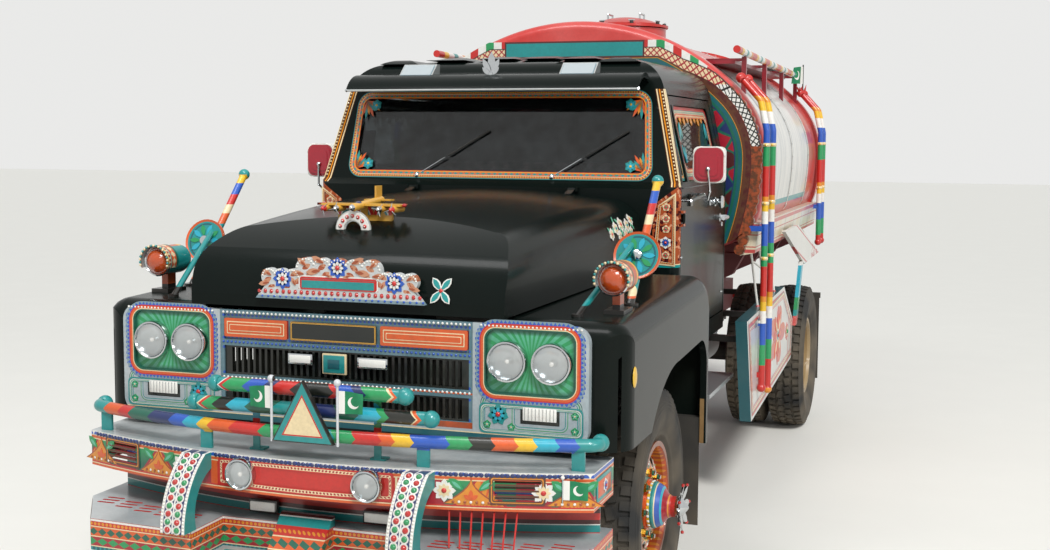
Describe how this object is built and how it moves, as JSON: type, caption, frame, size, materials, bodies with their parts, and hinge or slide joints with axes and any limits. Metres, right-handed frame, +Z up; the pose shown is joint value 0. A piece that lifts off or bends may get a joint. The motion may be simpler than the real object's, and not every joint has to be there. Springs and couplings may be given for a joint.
{
  "type": "decorated tanker truck",
  "caption": "Bonneted two-axle water tanker with a black cab, painted ornament, a big silver and red tank and twin rear wheels.",
  "frame": {"origin": "on the ground under the middle of the truck's bounding box", "axes": "+Z up, +Y towards the truck's rear, +X towards the truck's left side"},
  "size_m": [2.3558, 6.955, 2.8819],
  "materials": {
    "black_paint": "gloss",
    "silver_paint": "satin",
    "bright_paint": "gloss",
    "teal_paint": "gloss",
    "frame_paint": "matte",
    "cast": "matte",
    "spring_steel": "matte",
    "tyre": "matte",
    "wheel_paint": "gloss",
    "glass": "clear",
    "lamp_glass": "clear",
    "chrome": "polished",
    "brass": "polished",
    "rubber": "matte",
    "seat_cloth": "matte",
    "flag_cloth": "matte",
    "plastic": "matte",
    "step_metal": "satin"
  },
  "bodies": {
    "truck": {"bumper": "bright_paint", "bumper_hoops": "bright_paint", "bumper_shelf": "silver_paint", "cab_glass": "glass", "cab_shell": "black_paint", "cab_steps": "step_metal", "chassis_frame": "frame_paint", "dashboard": "plastic", "drive_shaft": "spring_steel", "engine": "cast", "exhaust": "spring_steel", "front_axle": "cast", "front_flags": "flag_cloth", "front_lamps": "lamp_glass", "front_tubes": "teal_paint", "front_wings": "black_paint", "grille": "black_paint", "mud_flaps": "rubber", "nose_panel": "silver_paint", "outlet": "brass", "rear_axle": "cast", "rear_guard": "bright_paint", "roof_rails": "bright_paint", "seats": "seat_cloth", "side_boards": "silver_paint", "side_posts": "bright_paint", "side_tanks": "frame_paint", "sign_and_poles": "teal_paint", "springs": "spring_steel", "steering_wheel": "plastic", "sun_visor": "black_paint", "tank": "silver_paint", "tank_board": "bright_paint", "tank_rails": "silver_paint", "tank_saddles": "frame_paint", "wing_lamps": "bright_paint"},
    "knuckle_left": {"knuckle_left": "cast"},
    "front_wheel_left": {"front_tyre_left": "tyre", "front_wheel_left": "wheel_paint"},
    "rear_wheels_left": {"rear_tyres_left": "tyre", "rear_wheels_left": "wheel_paint"},
    "door_left": {"door_left": "black_paint", "door_glass_left": "glass", "door_fittings_left": "chrome"},
    "knuckle_right": {"knuckle_right": "cast"},
    "front_wheel_right": {"front_tyre_right": "tyre", "front_wheel_right": "wheel_paint"},
    "rear_wheels_right": {"rear_tyres_right": "tyre", "rear_wheels_right": "wheel_paint"},
    "door_right": {"door_right": "black_paint", "door_glass_right": "glass", "door_fittings_right": "chrome"},
    "bonnet": {"bonnet": "black_paint", "bonnet_ornaments": "brass"},
    "hatch_lid": {"hatch_lid": "bright_paint"}
  },
  "joints": [
    {"name": "steer_left", "type": "hinge", "parent": "truck", "child": "knuckle_left", "pos_m": [0.8, -2.0875, 0.508], "axis": [0, 0, 1], "range_deg": [-33, 33]},
    {"name": "front_roll_left", "type": "hinge", "parent": "knuckle_left", "child": "front_wheel_left", "pos_m": [0.935, -2.0875, 0.508], "axis": [1, 0, 0], "continuous": true},
    {"name": "rear_roll_left", "type": "hinge", "parent": "truck", "child": "rear_wheels_left", "pos_m": [0.907, 2.2125, 0.508], "axis": [1, 0, 0], "continuous": true},
    {"name": "door_hinge_left", "type": "hinge", "parent": "truck", "child": "door_left", "pos_m": [0.962, -1.272, 1.475], "axis": [0, 0, 1], "range_deg": [-65, 0]},
    {"name": "steer_right", "type": "hinge", "parent": "truck", "child": "knuckle_right", "pos_m": [-0.8, -2.0875, 0.508], "axis": [0, 0, 1], "range_deg": [-33, 33]},
    {"name": "front_roll_right", "type": "hinge", "parent": "knuckle_right", "child": "front_wheel_right", "pos_m": [-0.935, -2.0875, 0.508], "axis": [1, 0, 0], "continuous": true},
    {"name": "rear_roll_right", "type": "hinge", "parent": "truck", "child": "rear_wheels_right", "pos_m": [-0.907, 2.2125, 0.508], "axis": [1, 0, 0], "continuous": true},
    {"name": "door_hinge_right", "type": "hinge", "parent": "truck", "child": "door_right", "pos_m": [-0.962, -1.272, 1.475], "axis": [0, 0, 1], "range_deg": [0, 65]},
    {"name": "bonnet_hinge", "type": "hinge", "parent": "truck", "child": "bonnet", "pos_m": [0, -1.3395, 1.822], "axis": [-1, 0, 0], "range_deg": [0, 48]},
    {"name": "hatch_hinge", "type": "hinge", "parent": "truck", "child": "hatch_lid", "pos_m": [0, 1.6225, 2.814], "axis": [-1, 0, 0], "range_deg": [0, 95]}
  ],
  "couplings": [
    {"joint": "steer_right", "follows": "steer_left", "ratio": 1}
  ]
}
